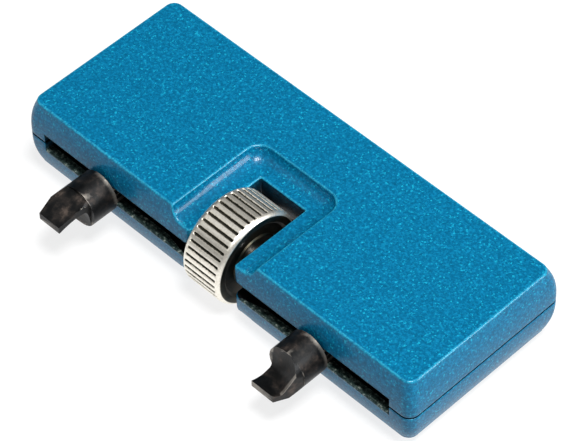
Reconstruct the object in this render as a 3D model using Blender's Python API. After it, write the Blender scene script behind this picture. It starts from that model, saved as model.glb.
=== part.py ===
"""Pocket case back opener for watches: two jaws on one left- and right-hand screw.

A thumb wheel in the middle of a two-part cast body turns a screw whose two halves
are threaded opposite ways, so the two jaws open and close together.

Frame: X runs along the body, the jaws point towards -Y, +Z is up.  The origin is on
the flat underside, behind the finger recess.  Sizes below are in millimetres.
"""

import bpy
import bmesh
from math import cos, sin, pi, radians
from mathutils import Matrix, Vector

MM = 0.001

# ---- body: two drafted cast shells that meet at the height of the screw ----
BODY_LENGTH = 80.1        # along X, at the parting line
BODY_WIDTH = 31.8         # along Y, at the parting line
BODY_HEIGHT = 13.0        # flat face to flat face
BACK_Y = 7.1              # back of the body, measured from the origin
AXIS_Z = 6.3              # parting line and screw axis, above the underside
PARTING_GAP = 0.3         # open groove between the two shells
DRAFT_INSET = 0.9         # how far the walls lean in between parting line and edge
BACK_LEAN = 0.4           # how much more the back wall leans in than the others
FULLNESS = 2.6            # power of the wall's curve: 1 is flat, more is fuller
EDGE_ROUND = 0.42         # rounding of the edge of each flat face
CORNER_RADIUS = 1.8       # plan corners at the parting line
FACE_CORNER_RADIUS = 1.7  # plan corners of the flat faces
WALL = 1.4                # front and back walls
FRONT_LEAN = 0.4          # how far the inside of the front wall leans in
ROOF = 1.5                # thickness behind each flat face
END_WALL = 3.4            # end walls, thick enough to hold the screw's bushes

# ---- wheel opening, finger recess and jaw slot ----
WHEEL_SIDE_GAP = 0.83     # wheel to each side of its opening
WHEEL_BACK_GAP = 0.83     # wheel to the back of its opening
LEDGE = 1.27              # level ledge beside the opening
LEDGE_BACK = 0.95         # level ledge behind the opening
RECESS_DEPTH = 2.1        # finger recess in the top face
RECESS_SLOPE = 2.8        # width of the recess's hollow flank
RECESS_CORNER = 2.75      # plan corner of the recess
ISLAND_WALL = 1.5         # metal kept round the recess, and so the bearing blocks
SLOT_END_WALL = 4.05      # from each end of the jaw slot to the body's end
SLOT_HEIGHT = 3.4

# ---- screw, wheel and their bearings ----
SCREW_SETBACK = 6.15      # screw axis, behind the front face
SCREW_DIAMETER = 5.0
JOURNAL_DIAMETER = 3.0
RUN_CLEARANCE = 0.1       # between a turning piece and the hole that it turns in
SEAT_GAP = 0.1            # between pieces that are pressed or screwed together
WHEEL_DIAMETER = 16.24
WHEEL_WIDTH = 7.6
WHEEL_OFFSET = -0.35      # wheel's middle, along X
WHEEL_CHAMFER = 0.6
WHEEL_DISH = 0.4          # depth of the hollow in each side of the wheel
HUB_DIAMETER = 8.6
RIM_THICKNESS = 1.7
GRUB_DIAMETER = 2.5
GRUB_LENGTH = 3.0
GRUB_ANGLE = -35.0        # degrees about X, from +Y towards +Z
BUSH_WALL = 1.6
BUSH_LENGTH = 2.2
WASHER_WIDTH = 1.3        # from its bore to its rim
WASHER_THICKNESS = 0.6
END_PLAY = 0.2            # between neighbours along the screw

# ---- jaws: steel, one piece from blade to nut block ----
LEFT_JAW_X = -23.0
RIGHT_JAW_X = 20.8
JAW_DIAMETER = 7.1
JAW_STANDOFF = 0.35       # round head, in front of the front face
SHOULDER_REACH = 5.05     # full round up to here, in front of the front face
RIGHT_TIP_REACH = 10.05   # end of the blade, in front of the front face
LEFT_TIP_REACH = 10.8     # this one was ground less
BLADE_WIDTH = 4.3         # at the tip
FLANK_INSET = 0.9         # flat ground on one flank, square to the shoulder
OTHER_INSET = 0.15        # and on the other flank
STRAIGHT_INSET = 0.65     # and on the blade's straight side
TIP_NEAR = -0.2           # blade's hollow side at the tip, off the head's axis
TIP_FAR = -1.42           # blade's straight side at the tip
SCOOP_LENGTH = 2.2        # from the shoulder to the bottom of the hollow
SCOOP_FLOOR = -1.25       # bottom of the hollow, off the head's axis
NECK_WIDTH = 5.2
NECK_CLEARANCE = 0.15     # above and below the neck in the slot
BLOCK_WIDTH = 7.2         # nut block, along X
BLOCK_CLEARANCE = 0.3     # nut block to the roofs and the front wall
NUT_WALL = 0.6            # brass nut pressed into the block

# ---- fasteners ----
POST_DIAMETER = 5.6
SCREW_SHANK = 2.4
SCREW_HEAD = 4.6
SCREW_HEAD_HEIGHT = 1.2
HEAD_RIM = 0.2            # straight edge of the head
SCREW_LENGTH = 8.6
HEAD_SINK = 0.15          # screw heads below the underside
HOLE_CLEARANCE = 0.15     # round a fastener's shank
POST_END_GAP = 1.8        # posts to the cavity's ends
POST_BACK_GAP = 1.2       # rear posts to the cavity's back
POST_BLOCK_GAP = 1.2      # front posts to the bearing blocks and the nut blocks
DOWEL_DIAMETER = 2.5
DOWEL_LENGTH = 6.0

ROUND_SEGMENTS = 32
SMALL_SEGMENTS = 20
CORNER_SEGMENTS = 5
SCOOP_SEGMENTS = 8

# ---- places worked out from the sizes above ----
FRONT_Y = BACK_Y - BODY_WIDTH
AXIS_Y = FRONT_Y + SCREW_SETBACK
HALF_LENGTH = BODY_LENGTH / 2
SLOT_HALF = HALF_LENGTH - SLOT_END_WALL
OPENING_HALF = WHEEL_WIDTH / 2 + WHEEL_SIDE_GAP
OPENING_REACH = SCREW_SETBACK + WHEEL_DIAMETER / 2 + WHEEL_BACK_GAP
RECESS_HALF = OPENING_HALF + LEDGE + RECESS_SLOPE
RECESS_REACH = OPENING_REACH + LEDGE_BACK + RECESS_SLOPE
CAVITY_END_X = HALF_LENGTH - END_WALL
ISLAND_X = RECESS_HALF + ISLAND_WALL
ISLAND_BACK_Y = FRONT_Y + RECESS_REACH + ISLAND_WALL
BUSH_DIAMETER = JOURNAL_DIAMETER + 2 * (RUN_CLEARANCE + BUSH_WALL)
WASHER_DIAMETER = JOURNAL_DIAMETER + 2 * (RUN_CLEARANCE + WASHER_WIDTH)
NUT_DIAMETER = SCREW_DIAMETER + 2 * (RUN_CLEARANCE + NUT_WALL)
WASHER_X = CAVITY_END_X - END_PLAY - WASHER_THICKNESS
THREAD_END_X = WASHER_X - END_PLAY
BUSH_X = CAVITY_END_X
BUSH_END_X = BUSH_X + BUSH_LENGTH
JOURNAL_END_X = BUSH_END_X - END_PLAY
BLOCK_HALF_HEIGHT = min(AXIS_Z, BODY_HEIGHT - AXIS_Z) - ROOF - BLOCK_CLEARANCE
BLOCK_FRONT_Y = FRONT_Y + WALL + FRONT_LEAN + BLOCK_CLEARANCE
BLOCK_DEPTH = 2 * (AXIS_Y - BLOCK_FRONT_Y)
POST_RADIUS = POST_DIAMETER / 2
POST_END_X = CAVITY_END_X - POST_END_GAP - POST_RADIUS
FRONT_POST_X = ISLAND_X + POST_BLOCK_GAP + POST_RADIUS
FRONT_POST_Y = BLOCK_FRONT_Y + BLOCK_DEPTH + POST_BLOCK_GAP + POST_RADIUS
REAR_POST_Y = BACK_Y - WALL - POST_BACK_GAP - POST_RADIUS


# ---------------------------------------------------------------- helpers

def clear_scene():
    """Remove every object that the scene starts with."""
    for existing in list(bpy.data.objects):
        bpy.data.objects.remove(existing, do_unlink=True)


def finish_material(name, colour, roughness, metallic):
    """A Principled material with one colour."""
    material = bpy.data.materials.new(name)
    material.use_nodes = True
    shader = material.node_tree.nodes["Principled BSDF"]
    shader.inputs["Base Color"].default_value = (*colour, 1.0)
    shader.inputs["Roughness"].default_value = roughness
    shader.inputs["Metallic"].default_value = metallic
    return material


def add_object(name, mesh, material=None, parent=None):
    """Link a mesh as an object; its vertices are in world millimetres times MM."""
    made = bpy.data.objects.new(name, mesh)
    bpy.context.collection.objects.link(made)
    if material:
        mesh.materials.append(material)
    if parent:
        made.parent = parent
        made.matrix_parent_inverse = Matrix.Identity(4)
        mesh.transform(Matrix.Translation(-parent.location))
    return made


def axis_empty(name, location):
    """An empty on a joint's axis, which carries a moving body's pieces."""
    empty = bpy.data.objects.new(name, None)
    bpy.context.collection.objects.link(empty)
    empty.location = Vector(location) * MM
    return empty


def mesh_from(name, points, faces):
    """Closed mesh from points in millimetres, with its faces turned outwards."""
    shape = bmesh.new()
    corners = [shape.verts.new(Vector(point) * MM) for point in points]
    for face in faces:
        shape.faces.new([corners[index] for index in face])
    bmesh.ops.recalc_face_normals(shape, faces=shape.faces)
    mesh = bpy.data.meshes.new(name)
    shape.to_mesh(mesh)
    shape.free()
    return mesh


def loft(name, rings):
    """Join rings that have the same number of points, and cap the first and last."""
    count = len(rings[0])
    points = [point for ring in rings for point in ring]
    faces = [list(range(count)), list(range(len(points) - count, len(points)))]
    for level in range(len(rings) - 1):
        low = level * count
        for index in range(count):
            after = (index + 1) % count
            faces.append([low + index, low + after, low + count + after,
                          low + count + index])
    return mesh_from(name, points, faces)


def box(name, low, high):
    """Box between two corners."""
    ring = [(low[0], low[1]), (high[0], low[1]), (high[0], high[1]), (low[0], high[1])]
    return loft(name, [[(x, y, z) for x, y in ring] for z in (low[2], high[2])])


def turned(name, profile, segments, axis, centre, bore=False):
    """Turn a profile of (distance along the axis, radius) about X, Y or Z.

    With a bore the profile is a closed loop; otherwise its two ends are capped.
    """
    def place(along, radius, angle):
        first, second = radius * cos(angle), radius * sin(angle)
        if axis == "X":
            return centre[0] + along, centre[1] + first, centre[2] + second
        if axis == "Y":
            return centre[0] + first, centre[1] + along, centre[2] + second
        return centre[0] + first, centre[1] + second, centre[2] + along

    rings = [[place(along, radius, 2 * pi * step / segments)
              for step in range(segments)] for along, radius in profile]
    if not bore:
        return loft(name, rings)
    points = [point for ring in rings for point in ring]
    faces = []
    for level in range(len(rings)):
        low, high = level * segments, (level + 1) % len(rings) * segments
        for index in range(segments):
            after = (index + 1) % segments
            faces.append([low + index, low + after, high + after, high + index])
    return mesh_from(name, points, faces)


def rounded_outline(low_x, high_x, low_y, high_y, radius):
    """Rectangle with round corners, anticlockwise from its low corner."""
    corners = [(low_x + radius, low_y + radius, pi), (high_x - radius, low_y + radius, 1.5 * pi),
               (high_x - radius, high_y - radius, 0.0), (low_x + radius, high_y - radius, 0.5 * pi)]
    outline = []
    for x, y, start in corners:
        for step in range(CORNER_SEGMENTS + 1):
            angle = start + 0.5 * pi * step / CORNER_SEGMENTS
            outline.append((x + radius * cos(angle), y + radius * sin(angle)))
    return outline


def boolean(target, mesh, operation="DIFFERENCE"):
    """Cut or join a hidden solid to the target, and leave the modifier live."""
    tool = add_object(f"{target.name}_{mesh.name}", mesh, parent=target.parent)
    tool.hide_render = True
    tool.display_type = "WIRE"
    step = target.modifiers.new(mesh.name, "BOOLEAN")
    step.operation = operation
    step.object = tool
    return tool


def shade_round(made, degrees=35.0):
    """Shade the round faces smooth and keep the real edges sharp."""
    made.data.shade_smooth()
    made.data.set_sharp_from_angle(angle=radians(degrees))


# ---------------------------------------------------------------- shells

def side(upper):
    """+1 for the top shell, which lies above the parting line, and -1 for the other."""
    return 1.0 if upper else -1.0


def face_z(upper):
    """Height of a shell's flat face."""
    return BODY_HEIGHT if upper else 0.0


def rim_z(upper):
    """Height of a shell's edge at the parting groove."""
    return AXIS_Z + side(upper) * PARTING_GAP / 2


def shell_ring(inset, radius, z):
    """Outline of the body, moved in by an inset."""
    back = BACK_Y - inset - BACK_LEAN * min(inset / DRAFT_INSET, 1.0)
    outline = rounded_outline(-HALF_LENGTH + inset, HALF_LENGTH - inset,
                              FRONT_Y + inset, back, radius)
    return [(x, y, z) for x, y in outline]


def outer_block(name, upper):
    """Outside of one shell: full walls that lean in, and a rounded face edge."""
    way, top, rim = side(upper), face_z(upper), rim_z(upper)
    rise = abs(top - rim) - EDGE_ROUND
    rings = []
    for share in (0.0, 0.4, 0.65, 0.85, 1.0):
        radius = CORNER_RADIUS + (FACE_CORNER_RADIUS - CORNER_RADIUS) * share
        inset = DRAFT_INSET * share ** FULLNESS
        rings.append(shell_ring(inset, radius, rim + way * rise * share))
    for angle in (45.0, 90.0):
        inset = DRAFT_INSET + EDGE_ROUND * (1 - cos(radians(angle)))
        z = top - way * EDGE_ROUND * (1 - sin(radians(angle)))
        radius = FACE_CORNER_RADIUS - EDGE_ROUND * (1 - cos(radians(angle)))
        rings.append(shell_ring(inset, radius, z))
    return loft(name, rings)


def cavity(upper):
    """Hollow of one shell: a U round the bearing blocks and the wheel opening."""
    way, beyond = side(upper), AXIS_Z - side(upper)
    roof = face_z(upper) - way * ROOF

    def ring(lean, front_lean, back_lean, z):
        left, right = -CAVITY_END_X + lean, CAVITY_END_X - lean
        front, back = FRONT_Y + WALL + front_lean, BACK_Y - WALL - lean - back_lean
        return [(left, front, z), (-ISLAND_X, front, z), (-ISLAND_X, ISLAND_BACK_Y, z),
                (ISLAND_X, ISLAND_BACK_Y, z), (ISLAND_X, front, z), (right, front, z),
                (right, back, z), (left, back, z)]

    return loft("cavity", [ring(0.0, 0.0, 0.0, beyond), ring(0.0, 0.0, 0.0, AXIS_Z),
                           ring(DRAFT_INSET, FRONT_LEAN, BACK_LEAN, roof)])


def finger_recess():
    """Hollow in the top face that lets a finger reach the wheel.

    Its flank is a quarter ellipse: steep at the face, level at the ledge.
    """
    front = FRONT_Y - RECESS_REACH
    rings = []
    for step in range(-1, 5):
        angle = 0.5 * pi * (1 - max(step, 0) / 4)
        drop = RECESS_DEPTH * cos(angle) if step >= 0 else -1.0
        inset = RECESS_SLOPE * (1 - sin(angle))
        outline = rounded_outline(-RECESS_HALF + inset, RECESS_HALF - inset, front,
                                  FRONT_Y + RECESS_REACH - inset,
                                  max(RECESS_CORNER - inset, 0.4))
        rings.append([(x, y, BODY_HEIGHT - drop) for x, y in outline])
    return loft("recess", rings)


def wheel_opening():
    """Slot through both flat faces that the wheel turns in, open to the front."""
    return box("opening", (-OPENING_HALF, FRONT_Y - 1, -1),
               (OPENING_HALF, FRONT_Y + OPENING_REACH, BODY_HEIGHT + 1))


def jaw_slot():
    """Long slot in the front wall that the jaws' necks slide in, beside the wheel bay."""
    return box("slot", (-SLOT_HALF, FRONT_Y - 1, AXIS_Z - SLOT_HEIGHT / 2),
               (SLOT_HALF, FRONT_Y + WALL + FRONT_LEAN + SEAT_GAP, AXIS_Z + SLOT_HEIGHT / 2))


def screw_bore(end):
    """Seats for the screw in the bearing blocks and for the bushes in the end walls."""
    middle = SCREW_DIAMETER / 2 + RUN_CLEARANCE
    bush = BUSH_DIAMETER / 2 + SEAT_GAP
    if end == 0:
        return turned("screw_seat", [(-ISLAND_X - 1, middle), (ISLAND_X + 1, middle)],
                      ROUND_SEGMENTS, "X", (0, AXIS_Y, AXIS_Z))
    near, far = BUSH_X - 1, BUSH_END_X + SEAT_GAP
    return turned("bush_seat", [(end * near, bush), (end * far, bush)],
                  ROUND_SEGMENTS, "X", (0, AXIS_Y, AXIS_Z))


def post_places():
    """Middles of the four screw posts, left to right and rear before front."""
    return {"left_rear": (-POST_END_X, REAR_POST_Y), "right_rear": (POST_END_X, REAR_POST_Y),
            "left_front": (-FRONT_POST_X, FRONT_POST_Y),
            "right_front": (FRONT_POST_X, FRONT_POST_Y)}


def dowel_places():
    """Middles of the two dowel posts."""
    return {"left": (-POST_END_X, FRONT_POST_Y), "right": (POST_END_X, FRONT_POST_Y)}


def make_shell(name, upper, material):
    """One half of the body, hollowed, slotted, bored and given its posts."""
    shell = add_object(name, outer_block(name, upper), material)
    boolean(shell, cavity(upper))
    if upper:
        boolean(shell, finger_recess())
    root = face_z(upper) - side(upper) * ROOF / 2
    for label, (x, y) in {**post_places(), **{f"dowel_{k}": v for k, v in dowel_places().items()}}.items():
        post = turned(f"post_{label}", [(rim_z(upper), POST_DIAMETER / 2), (root, POST_DIAMETER / 2)],
                      SMALL_SEGMENTS, "Z", (x, y, 0))
        boolean(shell, post, "UNION")
    boolean(shell, wheel_opening())
    boolean(shell, jaw_slot())
    for end in (-1, 0, 1):
        boolean(shell, screw_bore(end))
    hole = SCREW_SHANK / 2 + HOLE_CLEARANCE
    for label, (x, y) in post_places().items():
        profile = [(HEAD_SINK + SCREW_LENGTH + HOLE_CLEARANCE, hole), (HEAD_SINK, hole)]
        if not upper:
            head = SCREW_HEAD / 2 + HOLE_CLEARANCE
            profile = [(AXIS_Z + 1, hole), (HEAD_SINK + SCREW_HEAD_HEIGHT + SEAT_GAP, hole),
                       (HEAD_SINK + HEAD_RIM + SEAT_GAP, head), (-1, head)]
        boolean(shell, turned(f"hole_{label}", profile, SMALL_SEGMENTS, "Z", (x, y, 0)))
    reach = DOWEL_LENGTH / 2 + HOLE_CLEARANCE
    pin = DOWEL_DIAMETER / 2 + SEAT_GAP
    for label, (x, y) in dowel_places().items():
        boolean(shell, turned(f"dowel_hole_{label}", [(-reach, pin), (reach, pin)],
                              SMALL_SEGMENTS, "Z", (x, y, AXIS_Z)))
    return shell


# ---------------------------------------------------------------- screw and wheel

def make_screw(parent, material):
    """Screw with a plain middle under the wheel and a journal at each end."""
    thread, journal = SCREW_DIAMETER / 2, JOURNAL_DIAMETER / 2
    half = [(THREAD_END_X, thread), (THREAD_END_X, journal), (JOURNAL_END_X, journal)]
    profile = [(-along, radius) for along, radius in reversed(half)] + half
    made = add_object("lead_screw", turned("lead_screw", profile, ROUND_SEGMENTS, "X",
                                           (0, AXIS_Y, AXIS_Z)), material, parent)
    shade_round(made)


def make_wheel(parent, material):
    """Thumb wheel: chamfered rim, hollow sides, a hub bored for the screw."""
    half, rim = WHEEL_WIDTH / 2, WHEEL_DIAMETER / 2
    bore = SCREW_DIAMETER / 2 + SEAT_GAP + 0.05
    inner, hub = rim - RIM_THICKNESS, HUB_DIAMETER / 2
    right = [(half, bore), (half, hub), (half - WHEEL_DISH, hub), (half - WHEEL_DISH, inner),
             (half, inner), (half, rim - WHEEL_CHAMFER), (half - WHEEL_CHAMFER, rim)]
    profile = right + [(-along, radius) for along, radius in reversed(right)]
    wheel = add_object("thumb_wheel",
                       turned("thumb_wheel", profile, 2 * ROUND_SEGMENTS, "X",
                              (WHEEL_OFFSET, AXIS_Y, AXIS_Z), bore=True), material, parent)
    hole = grub_cylinder("grub_hole", GRUB_DIAMETER / 2 + SEAT_GAP, 0.0, WHEEL_DIAMETER)
    boolean(wheel, hole)
    shade_round(wheel)


def grub_cylinder(name, radius, start, end):
    """Round bar along the grub screw's radius of the wheel, from start to end."""
    mesh = turned(name, [(start, radius), (end, radius)], SMALL_SEGMENTS, "Y", (0, 0, 0))
    turn = Matrix.Rotation(radians(GRUB_ANGLE), 4, "X")
    place = Matrix.Translation(Vector((WHEEL_OFFSET, AXIS_Y, AXIS_Z)) * MM)
    mesh.transform(place @ turn)
    return mesh


def make_grub_screw(parent, material):
    """Grub screw that holds the wheel on the screw, with a hexagon socket."""
    start = SCREW_DIAMETER / 2 + SEAT_GAP
    grub = add_object("wheel_grub_screw",
                      grub_cylinder("wheel_grub_screw", GRUB_DIAMETER / 2, start,
                                    start + GRUB_LENGTH), material, parent)
    socket = turned("socket", [(start + GRUB_LENGTH / 2, GRUB_DIAMETER / 4),
                               (start + GRUB_LENGTH + 1, GRUB_DIAMETER / 4)], 6, "Y", (0, 0, 0))
    turn = Matrix.Rotation(radians(GRUB_ANGLE), 4, "X")
    socket.transform(Matrix.Translation(Vector((WHEEL_OFFSET, AXIS_Y, AXIS_Z)) * MM) @ turn)
    boolean(grub, socket)
    shade_round(grub)


def make_ring(name, inner, outer, start, length, material, end):
    """Washer or bush on the screw's journal; end is -1 on the left and 1 on the right."""
    profile = [(start, inner), (start, outer), (start + length, outer), (start + length, inner)]
    profile = [(end * along, radius) for along, radius in profile]
    made = add_object(name, turned(name, profile, ROUND_SEGMENTS, "X", (0, AXIS_Y, AXIS_Z),
                                   bore=True), material)
    shade_round(made)


# ---------------------------------------------------------------- jaws

def jaw_side_outline(turn, tip_reach):
    """Side view of a jaw's tip as (Y, Z): hollow on one side, straight on the other.

    The hollow leaves the round head square to it, as a quarter ellipse, and rises again
    towards the tip.  turn is 1 with the hollow on top, and -1 with it underneath.
    """
    radius = JAW_DIAMETER / 2 + 0.2
    back, shoulder, tip = FRONT_Y - JAW_STANDOFF, FRONT_Y - SHOULDER_REACH, FRONT_Y - tip_reach
    outline = [(back, radius), (shoulder, radius)]
    for step in range(1, SCOOP_SEGMENTS + 1):
        angle = 0.5 * pi * step / SCOOP_SEGMENTS
        outline.append((shoulder - SCOOP_LENGTH * (1 - cos(angle)),
                        radius - (radius - SCOOP_FLOOR) * sin(angle)))
    for share in (0.35, 0.7, 1.0):
        y = shoulder - SCOOP_LENGTH + (tip - shoulder + SCOOP_LENGTH) * share
        outline.append((y, SCOOP_FLOOR + (TIP_NEAR - SCOOP_FLOOR) * share ** 1.5))
    outline += [(tip, TIP_FAR), (shoulder, STRAIGHT_INSET - JAW_DIAMETER / 2),
                (shoulder, -radius), (back, -radius)]
    return [(y, AXIS_Z + turn * z) for y, z in outline]


def jaw_plan_outline(x, turn, tip_reach):
    """Plan of a jaw's tip as (X, Y): one flank is cut square to the shoulder, one tapers."""
    wide, narrow = JAW_DIAMETER / 2 + 0.2, BLADE_WIDTH / 2
    flat, other = JAW_DIAMETER / 2 - FLANK_INSET, JAW_DIAMETER / 2 - OTHER_INSET
    back, shoulder, tip = FRONT_Y + WALL, FRONT_Y - SHOULDER_REACH, FRONT_Y - tip_reach
    outline = [(-wide, back), (-wide, shoulder), (-flat, shoulder), (-narrow, tip - 0.1),
               (narrow, tip - 0.1), (other, shoulder), (wide, shoulder), (wide, back)]
    return [(x + turn * across, y) for across, y in outline]


def make_jaw(name, x, turn, tip_reach, parent, material):
    """Round head with a blade, a flat neck for the slot and a nut block on the screw."""
    wide = JAW_DIAMETER
    head = turned(name, [(FRONT_Y - tip_reach - 0.2, JAW_DIAMETER / 2),
                         (FRONT_Y - JAW_STANDOFF, JAW_DIAMETER / 2)],
                  ROUND_SEGMENTS, "Y", (x, 0, AXIS_Z))
    jaw = add_object(name, head, material, parent)
    side_view = loft("tip_side", [[(x + across, y, z) for y, z in jaw_side_outline(turn, tip_reach)]
                                  for across in (-wide, wide)])
    boolean(jaw, side_view, "INTERSECT")
    plan = loft("tip_plan", [[(px, py, AXIS_Z + up) for px, py in jaw_plan_outline(x, turn, tip_reach)]
                             for up in (-wide, wide)])
    boolean(jaw, plan, "INTERSECT")
    neck_half = SLOT_HEIGHT / 2 - NECK_CLEARANCE
    block = box("nut_block", (x - BLOCK_WIDTH / 2, BLOCK_FRONT_Y, AXIS_Z - BLOCK_HALF_HEIGHT),
                (x + BLOCK_WIDTH / 2, BLOCK_FRONT_Y + BLOCK_DEPTH, AXIS_Z + BLOCK_HALF_HEIGHT))
    neck = box("neck", (x - NECK_WIDTH / 2, FRONT_Y - JAW_STANDOFF - 0.4, AXIS_Z - neck_half),
               (x + NECK_WIDTH / 2, BLOCK_FRONT_Y + 0.4, AXIS_Z + neck_half))
    boolean(jaw, neck, "UNION")
    boolean(jaw, block, "UNION")
    eye = NUT_DIAMETER / 2 + SEAT_GAP
    boolean(jaw, turned("nut_eye", [(-BLOCK_WIDTH, eye), (BLOCK_WIDTH, eye)],
                        ROUND_SEGMENTS, "X", (x, AXIS_Y, AXIS_Z)))
    shade_round(jaw)


def make_nut(name, x, parent, material):
    """Brass nut, pressed into a jaw's block, that runs on the screw."""
    half, inner, outer = BLOCK_WIDTH / 2, SCREW_DIAMETER / 2 + RUN_CLEARANCE, NUT_DIAMETER / 2
    profile = [(-half, inner), (-half, outer), (half, outer), (half, inner)]
    nut = add_object(name, turned(name, profile, ROUND_SEGMENTS, "X", (x, AXIS_Y, AXIS_Z),
                                  bore=True), material, parent)
    shade_round(nut)


# ---------------------------------------------------------------- fasteners

def make_shell_screw(name, x, y, material):
    """Countersunk screw from below, with a cross recess in its head."""
    shank, head = SCREW_SHANK / 2, SCREW_HEAD / 2
    profile = [(HEAD_SINK, head), (HEAD_SINK + HEAD_RIM, head),
               (HEAD_SINK + SCREW_HEAD_HEIGHT, shank),
               (HEAD_SINK + SCREW_LENGTH, shank)]
    screw = add_object(name, turned(name, profile, SMALL_SEGMENTS, "Z", (x, y, 0)), material)
    arm, slot = SCREW_HEAD * 0.3, SCREW_HEAD * 0.07
    for label, (dx, dy) in {"cross_a": (arm, slot), "cross_b": (slot, arm)}.items():
        boolean(screw, box(label, (x - dx, y - dy, -1), (x + dx, y + dy, HEAD_SINK + 0.8)))
    shade_round(screw)


def make_dowel(name, x, y, material):
    """Plain pin that lines the shells up."""
    half, chamfer = DOWEL_LENGTH / 2, 0.25
    radius = DOWEL_DIAMETER / 2
    profile = [(-half, radius - chamfer), (-half + chamfer, radius),
               (half - chamfer, radius), (half, radius - chamfer)]
    made = add_object(name, turned(name, profile, SMALL_SEGMENTS, "Z", (x, y, AXIS_Z)), material)
    shade_round(made)


# ---------------------------------------------------------------- assembly

def main():
    """Build the body, the screw with its wheel, the two jaws and the fasteners."""
    clear_scene()
    paint = finish_material("blue_metallic_paint", (0.012, 0.17, 0.33), 0.35, 0.6)
    nickel = finish_material("nickel_plate", (0.62, 0.58, 0.50), 0.28, 1.0)
    oxide = finish_material("black_oxide_steel", (0.03, 0.028, 0.028), 0.45, 0.8)
    steel = finish_material("bright_steel", (0.48, 0.48, 0.48), 0.35, 1.0)
    bronze = finish_material("bearing_bronze", (0.45, 0.27, 0.12), 0.45, 1.0)
    brass = finish_material("nut_brass", (0.62, 0.46, 0.16), 0.35, 1.0)

    make_shell("top_shell", True, paint)
    make_shell("bottom_shell", False, paint)

    spindle = axis_empty("spindle_axis", (0, AXIS_Y, AXIS_Z))
    make_screw(spindle, steel)
    make_wheel(spindle, nickel)
    make_grub_screw(spindle, oxide)

    bore = JOURNAL_DIAMETER / 2 + RUN_CLEARANCE
    for label, end in (("left", -1), ("right", 1)):
        make_ring(f"{label}_end_bush", bore, BUSH_DIAMETER / 2, BUSH_X, BUSH_LENGTH, bronze, end)
        make_ring(f"{label}_thrust_washer", bore, WASHER_DIAMETER / 2, WASHER_X,
                  WASHER_THICKNESS, steel, end)

    for label, x, turn, tip_reach in (("left", LEFT_JAW_X, -1, LEFT_TIP_REACH),
                                      ("right", RIGHT_JAW_X, 1, RIGHT_TIP_REACH)):
        rail = axis_empty(f"{label}_jaw_rail", (x, AXIS_Y, AXIS_Z))
        make_jaw(f"{label}_jaw", x, turn, tip_reach, rail, oxide)
        make_nut(f"{label}_jaw_nut", x, rail, brass)

    for label, (x, y) in post_places().items():
        make_shell_screw(f"{label}_shell_screw", x, y, steel)
    for label, (x, y) in dowel_places().items():
        make_dowel(f"{label}_dowel", x, y, steel)


main()
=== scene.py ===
"""Pocket case back opener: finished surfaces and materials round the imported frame.

Every new piece is worked out as arrays: a profile carried along a path, or a function
of two parameters on a grid.  Lengths in the tables are millimetres, and meshes are metres.
"""
import bpy
import bmesh
import numpy as np
from mathutils import Matrix, Vector


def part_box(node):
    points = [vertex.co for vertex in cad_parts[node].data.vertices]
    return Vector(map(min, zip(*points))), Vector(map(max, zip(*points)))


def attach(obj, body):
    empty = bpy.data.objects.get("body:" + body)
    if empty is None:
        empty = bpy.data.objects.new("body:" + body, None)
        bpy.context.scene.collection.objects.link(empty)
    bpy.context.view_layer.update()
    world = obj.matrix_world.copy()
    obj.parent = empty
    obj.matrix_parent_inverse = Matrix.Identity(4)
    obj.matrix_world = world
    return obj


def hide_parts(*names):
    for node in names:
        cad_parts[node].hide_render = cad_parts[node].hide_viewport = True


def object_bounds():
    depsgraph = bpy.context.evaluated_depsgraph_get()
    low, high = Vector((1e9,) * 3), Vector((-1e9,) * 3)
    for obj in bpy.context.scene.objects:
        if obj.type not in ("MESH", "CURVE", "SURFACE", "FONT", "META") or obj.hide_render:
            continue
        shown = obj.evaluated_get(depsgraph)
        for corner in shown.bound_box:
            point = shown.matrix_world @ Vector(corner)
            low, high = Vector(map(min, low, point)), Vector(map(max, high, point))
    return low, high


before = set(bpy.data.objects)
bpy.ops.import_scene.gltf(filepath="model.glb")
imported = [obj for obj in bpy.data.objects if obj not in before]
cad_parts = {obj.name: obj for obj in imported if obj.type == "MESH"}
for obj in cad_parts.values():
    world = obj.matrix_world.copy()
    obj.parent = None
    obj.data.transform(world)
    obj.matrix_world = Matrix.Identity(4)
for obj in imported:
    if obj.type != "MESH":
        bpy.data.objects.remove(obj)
cad_low, cad_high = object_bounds()

MM = 0.001


def box_mm(node):
    """Lowest and highest corner of a CAD node, in millimetres."""
    low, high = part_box(node)
    return np.array(low) / MM, np.array(high) / MM


# ---- sizes read from the frame ----
TOP_LOW, TOP_HIGH = box_mm("top_shell")
BOTTOM_LOW = box_mm("bottom_shell")[0]
SCREW_LOW, SCREW_HIGH = box_mm("lead_screw")
WHEEL_LOW, WHEEL_HIGH = box_mm("thumb_wheel")
HALF_LENGTH = TOP_HIGH[0]
FRONT_Y, BACK_Y = TOP_LOW[1], TOP_HIGH[1]
AXIS_Y = (SCREW_LOW[1] + SCREW_HIGH[1]) / 2
AXIS_Z = (SCREW_LOW[2] + SCREW_HIGH[2]) / 2
SCREW_RADIUS = (SCREW_HIGH[2] - SCREW_LOW[2]) / 2
WHEEL_RADIUS = (WHEEL_HIGH[1] - WHEEL_LOW[1]) / 2
WHEEL_MIDDLE = (WHEEL_LOW[0] + WHEEL_HIGH[0]) / 2
WHEEL_HALF = (WHEEL_HIGH[0] - WHEEL_LOW[0]) / 2

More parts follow.
